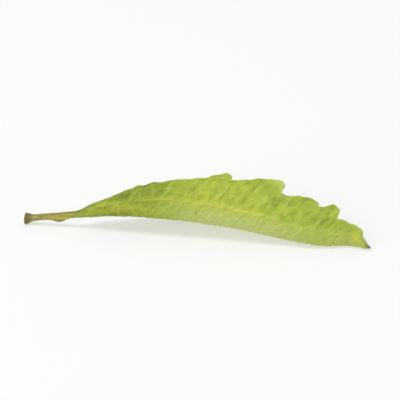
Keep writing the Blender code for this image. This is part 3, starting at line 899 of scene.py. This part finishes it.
leafFinish = {
    # the underside by the stalk, in the middle and by the tip, towards the edge and beside the midrib
    "undersideBase": (123, 137, 33),
    "undersideMiddle": (184, 199, 68),
    "undersideTip": (168, 190, 68),
    "towardsEdge": (156, 177, 56),
    # beside the midrib a paler, greyer strip: partly the leaf's own tone, partly painted sheen and
    # bounce light from the floor
    "besideMidribToneAndSheen": (192, 200, 118),
    "streaks": (206, 204, 62),
    "blotches": (150, 174, 52),
    "sideVein": (208, 216, 84),
    "veinlets": (202, 212, 100),
    "hollowShade": (156, 172, 56),
    # painted shade, laid darker into the hollows of the puckers and along the creases
    "upperFace": (136, 158, 50),
    "upperDull": (106, 132, 38),
    "upperVeins": (170, 186, 76),
    "stalk": (176, 168, 88),
    "stalkYellow": (184, 182, 76),
    "stalkDark": (112, 106, 46),
    "wingBrown": (118, 98, 44),
    "cutEnd": (118, 108, 58),
    "cutMiddle": (88, 76, 40),
    "rim": (208, 214, 122),
    "specks": (96, 92, 40),
    "yellowSpot": (204, 212, 44),
    # places x and s, size in millimetres and strength of the blemishes of each colour
    "blemishes": {
        "specks": [
            (0.05, 0.7, 0.3, 0.38), (-9.3, 2.2, 0.2, 0.3),
            (9.8, -3.4, 0.3, 0.6), (-6.0, -2.1, 0.25, 0.5),
        ],
        "yellowSpot": [(20.2, 0.9, 0.8, 0.5), (11.2, 2.9, 0.9, 0.25)],
    },
    "tipPoint": (104, 108, 66),
    # where each colour starts and is full, in metres along or across the leaf, then its least and
    # greatest share where they aren't 0 and 1
    "fades": {
        "undersideMiddle": (-0.0116, 0.0042),
        "undersideTip": (0.0055, 0.0125),
        "tipEdge": (0.0165, 0.0195, 0.0, 0.85),
        "outerEdge": (0.0034, 0.0066, 0.0, 0.42),
        "besideMidribToneAndSheen": (0.0024, 0.0001, 0.0, 0.85),
        "besideFromBase": (-0.007, 0.003),
        "besideToTip": (0.016, 0.009, 0.4, 1.0),
        "veinFromBase": (-0.009, 0.0, 0.25, 1.0),
        "veinToTip": (0.013, 0.006, 0.25, 0.9),
        "rim": (0.00022, 0.00004, 0.0, 0.45),
        "stalk": (-0.0125, -0.0172),
        "stalkYellow": (-0.0195, -0.0165),
        "stalkTop": (0.0001, 0.0005, 0.0, 0.85),
        "wing": (0.25, 0.7, 0.0, 0.9),
        "cutEnd": (-0.0206, -0.0216),
        "tipPoint": (0.0211, 0.0221, 0.0, 0.9),
    },
    # size, detail and roughness of each noise, then its values that fade in and the shares
    "patterns": {
        "streaks": ((0.0016, 3.0, 0.6), (0.48, 0.72, 0.0, 0.6)),
        "blotches": ((0.0017, 4.0, 0.65), (0.48, 0.7, 0.0, 0.75)),
        "brokenVein": ((0.0006, 2.0), (0.4, 0.55, 0.3, 1.0)),
        "upperDull": ((0.0026, 4.0), (0.38, 0.68)),
        "fibres": ((0.0003, 2.0), (0.42, 0.66, 0.0, 0.55)),
        "roughness": ((0.0006, 2.0), (0.3, 0.7, 0.66, 0.82)),
    },
    # what the mesh knows about each place, and the share of a colour that it lays on
    "undersideFacts": [
        # the hollows and creases are painted darker as shade
        ("hollow", 0.12, "hollowShade"),
        ("creaseLine", 0.3, "hollowShade"),
        ("netLine", 0.35, "veinlets"),
        ("branchLine", 0.4, "veinlets"),
        # the rolled tooth's crease is painted darker as shade
        ("rolledCrease", 0.5, "towardsEdge"),
        # the rolled tooth's rim is painted pale as a highlight
        ("rolledRimHighlight", 0.45, "rim"),
    ],
    "upperFacts": [
        ("netLine", 0.3, "upperVeins"),
        ("branchLine", 0.45, "upperVeins"),
        ("sideVein", 0.8, "upperVeins"),
        ("midribLine", 0.8, "upperVeins"),
    ],
    # how uneven the blemishes' edges are and how finely, and the share of a blemish that is full
    "blemishShake": 0.0003,
    "blemishShakeScale": 3500.0,
    "blemishCore": 0.3,
    "grain": (0.00012, 4.0, 0.65),
    "fineNetSize": 0.00036,
    "fineNet": (0.0, 0.14, 0.8, 0.0),
    "grainStrength": 0.5,
    "grainDepth": 0.00004,
    "shader": {
        "Sheen Weight": 0.2,
        "Sheen Roughness": 0.45,
        "Subsurface Weight": 0.1,
        "Subsurface Radius": (1.0, 1.0, 0.35),
        "Subsurface Scale": 0.0003,
        "Specular IOR Level": 0.3,
    },
}


def makeLeafMaterial(finish):
    material, tree, shader = newMaterial("driedLeaf")
    flatPlace = meshFact(tree, "flatPlace", "Vector")
    x, s, _ = separate(tree, flatPlace)
    width = calc(tree, "ABSOLUTE", s)
    lengthwise = vectorCalc(tree, "MULTIPLY", flatPlace, lengthwiseStretch)

    # lays a colour of the finish over another by a share
    def over(below, share, name):
        return mixed(tree, share, below, paint(finish[name]))

    def fade(value, name):
        return ramp(tree, value, *finish["fades"][name])

    def pattern(place, name):
        size, shows = finish["patterns"][name]
        return ramp(tree, noise(tree, place, *size), *shows)

    # the underside: from dull at the stalk to bright in the middle and greener at the tip
    under = over(paint(finish["undersideBase"]), fade(x, "undersideMiddle"), "undersideMiddle")
    under = over(under, fade(x, "undersideTip"), "undersideTip")
    under = over(under, fade(x, "tipEdge"), "towardsEdge")
    under = over(under, fade(s, "outerEdge"), "towardsEdge")
    under = over(under, pattern(lengthwise, "streaks"), "streaks")
    under = over(under, pattern(flatPlace, "blotches"), "blotches")
    for fact, share, name in finish["undersideFacts"]:
        under = over(under, times(tree, meshFact(tree, fact), share), name)
    # the paler strip beside the midrib, partly its own tone and partly painted sheen and bounce light
    # from the floor
    beside = times(tree, fade(width, "besideMidribToneAndSheen"), fade(x, "besideFromBase"), fade(x, "besideToTip"))
    under = over(under, beside, "besideMidribToneAndSheen")
    strong = times(tree, fade(x, "veinFromBase"), fade(x, "veinToTip"))
    vein = times(tree, meshFact(tree, "sideVein"), pattern(lengthwise, "brokenVein"), strong)
    under = over(under, vein, "sideVein")

    # the upper face: greener, its veins sunk and a little paler
    upper = over(paint(finish["upperFace"]), pattern(flatPlace, "upperDull"), "upperDull")
    for fact, share, name in finish["upperFacts"]:
        upper = over(upper, times(tree, meshFact(tree, fact), share), name)
    colour = mixed(tree, meshFact(tree, "leafSide"), upper, under)

    # a pale rim, the stalk brown at its end and yellower towards the blade, and the dark tip
    colour = over(colour, fade(meshFact(tree, "rimGap"), "rim"), "rim")
    stalk = over(paint(finish["stalk"]), fade(x, "stalkYellow"), "stalkYellow")
    stalk = over(stalk, pattern(lengthwise, "fibres"), "stalkDark")
    stalk = over(stalk, fade(s, "stalkTop"), "stalkDark")
    stalk = over(stalk, fade(meshFact(tree, "wing"), "wing"), "wingBrown")
    colour = mixed(tree, fade(x, "stalk"), colour, stalk)
    colour = over(colour, fade(x, "cutEnd"), "cutEnd")
    colour = over(colour, meshFact(tree, "cutEnd"), "cutMiddle")
    colour = over(colour, fade(x, "tipPoint"), "tipPoint")

    # a few small blemishes with uneven edges
    shaken = {"Vector": flatPlace, "Scale": finish["blemishShakeScale"]}
    shaken = addNode(tree, "ShaderNodeTexNoise", shaken, take="Color")
    shaken = vectorCalc(tree, "ADD", flatPlace, scaled(tree, shaken, finish["blemishShake"]))
    middle = finish["blemishShake"] / 2
    for name, spots in finish["blemishes"].items():
        for along, across, size, strength in spots:
            centre = (along * mm + middle, across * mm + middle, middle)
            gap = vectorCalc(tree, "DISTANCE", shaken, centre)
            share = ramp(tree, gap, size * mm, size * mm * finish["blemishCore"], 0.0, strength)
            colour = over(colour, share, name)
    tree.links.new(colour, shader.inputs["Base Color"])

    # dry, velvety grain over a net too fine to model
    grain = noise(tree, flatPlace, *finish["grain"])
    fineNet = ramp(tree, cellEdge(tree, flatPlace, finish["fineNetSize"]), *finish["fineNet"])
    height = calc(tree, "ADD", grain, fineNet)
    bumps = {"Height": height, "Strength": finish["grainStrength"], "Distance": finish["grainDepth"]}
    tree.links.new(addNode(tree, "ShaderNodeBump", bumps), shader.inputs["Normal"])
    tree.links.new(pattern(flatPlace, "roughness"), shader.inputs["Roughness"])
    for label, value in finish["shader"].items():
        shader.inputs[label].default_value = value
    return material


# The hairs' colour, how dull it gets and in what patches, and their roughness
hairFinish = {
    "colour": (214, 218, 158),
    "duller": 0.88,
    "patches": ((0.0006, 1.0), (0.3, 0.7)),
    "roughness": 0.6,
}


def makeHairMaterial(finish):
    material, tree, shader = newMaterial("paleHairs")
    place = addNode(tree, "ShaderNodeTexCoord", take="Object")
    duller = paint([channel * finish["duller"] for channel in finish["colour"]])
    size, shows = finish["patches"]
    patches = ramp(tree, noise(tree, place, *size), *shows)
    tone = mixed(tree, patches, paint(finish["colour"]), duller)
    tree.links.new(tone, shader.inputs["Base Color"])
    shader.inputs["Roughness"].default_value = finish["roughness"]
    return material


# The blade, from the folded sheet to its fine relief
blade = makeBlade("driedLeafBlade")
print("blade laid out:", len(blade.data.polygons), "faces")
leafMaterial = makeLeafMaterial(leafFinish)
bladeRelief = {
    "Net height": 0.06 * mm,
    "Net cell": 1.15 * mm,
    "Net sway": 0.9 * mm,
    "Fine height": 0.03 * mm,
    "Fine cell": 0.5 * mm,
    "Crease depth": 0.05 * mm,
    "Wrinkle height": 0.16 * mm,
    "Crinkle height": 0.12 * mm,
    "Fibre height": 0.12 * mm,
    "Seed shift": 0.31,
    "Material": leafMaterial,
}
tree, identifiers = reliefTree(bladeRelief, reliefPatterns)
applyTree(blade, tree, identifiers, bladeRelief)
blade.data.shade_smooth()
print("relief done:", len(blade.data.polygons), "faces")

# The hairs, grown on a copy of the finished blade
hairs = addObject("leafHairs", blade.data.copy())
hairGrowth = {
    "Hairs a square metre": 17.0e6,
    "Share on upper face": 0.5,
    "Length": 0.21 * mm,
    "Thickness": 0.01 * mm,
    "Lean": 0.8,
    "Shake": 0.6,
    "Bend": 0.35,
    "Reach": 1.3,
    "Smallest": 0.55,
    "Largest": 1.15,
    # no hair reaches past these corners, which lie a little inside the leaf's box
    "Lowest corner": tuple(float(c) + 0.08 * mm for c in leafLow),
    "Highest corner": tuple(float(c) - 0.02 * mm for c in leafHigh),
    "Seed": 11,
    "Material": makeHairMaterial(hairFinish),
}
tree, identifiers = hairTree(hairGrowth)
applyTree(hairs, tree, identifiers, hairGrowth)
print("hairs grown:", len(hairs.data.polygons), "faces")
layMap(blade, flatMap)

for piece in (blade, hairs):
    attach(piece, "root")
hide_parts("leaf")

studio = {
    # the floor is a pale board that is faintly lit from below, which keeps the shadow soft
    "floorColour": (178, 178, 177),
    "floorRoughness": 0.9,
    "floorGlow": 0.5,
    "floorDrop": 0.02 * mm,
    "floorSize": 1.2,
    "world": 0.45,
    # place, size and strength of each soft light, in metres and watts
    "lights": {
        "overheadSoftbox": ((-0.12, -0.06, 0.4), 0.22, 0.85),
        "frontSoftbox": ((-0.2, -0.4, 0.22), 0.35, 0.5),
        "backFill": ((0.2, 0.35, 0.25), 0.4, 0.33),
    },
}


def makeStudio(setup):
    half = setup["floorSize"] / 2
    mesh = bpy.data.meshes.new("paleFloor")
    low = -setup["floorDrop"]
    corners = [(-half, -half, low), (half, -half, low), (half, half, low), (-half, half, low)]
    mesh.from_pydata(corners, [], [(0, 1, 2, 3)])
    material, tree, shader = newMaterial("paleFloor")
    shader.inputs["Base Color"].default_value = paint(setup["floorColour"])
    shader.inputs["Roughness"].default_value = setup["floorRoughness"]
    shader.inputs["Emission Color"].default_value = (1.0, 1.0, 1.0, 1.0)
    shader.inputs["Emission Strength"].default_value = setup["floorGlow"]
    mesh.materials.append(material)
    floor = addObject("paleFloor", mesh)
    world = bpy.data.worlds.new("studio")
    world.use_nodes = True
    background = world.node_tree.nodes["Background"]
    background.inputs["Color"].default_value = (1.0, 1.0, 1.0, 1.0)
    background.inputs["Strength"].default_value = setup["world"]
    bpy.context.scene.world = world
    for name, (place, size, power) in setup["lights"].items():
        light = bpy.data.lights.new(name, "AREA")
        light.shape = "DISK"
        light.size = size
        light.energy = power
        lamp = addObject(name, light)
        lamp.location = place
        lamp.rotation_euler = Vector(place).to_track_quat("Z", "Y").to_euler()


# Where the camera stands, in degrees, its lens, the leaf's share of the picture and the nearest
# place that it shows
viewpoint = {
    "azimuth": 9.5,
    "elevation": 30.0,
    "lens": 200.0,
    "widthShare": 0.86,
    "nearest": 10 * mm,
}


def makeCamera(view):
    data = bpy.data.cameras.new("camera")
    data.lens = view["lens"]
    data.clip_start = view["nearest"]
    camera = addObject("camera", data)
    azimuth, elevation = math.radians(view["azimuth"]), math.radians(view["elevation"])
    away = Vector((
        math.sin(azimuth) * math.cos(elevation),
        -math.cos(azimuth) * math.cos(elevation),
        math.sin(elevation),
    ))
    middle = Vector((leafLow + leafHigh) / 2)
    length = (leafHigh[0] - leafLow[0]) * math.cos(azimuth)
    distance = length / view["widthShare"] * view["lens"] / data.sensor_width
    camera.location = middle + away * distance
    camera.rotation_euler = away.to_track_quat("Z", "Y").to_euler()
    bpy.context.scene.camera = camera


makeStudio(studio)
makeCamera(viewpoint)
bpy.context.scene.view_settings.view_transform = "Standard"
print("studio and camera set")
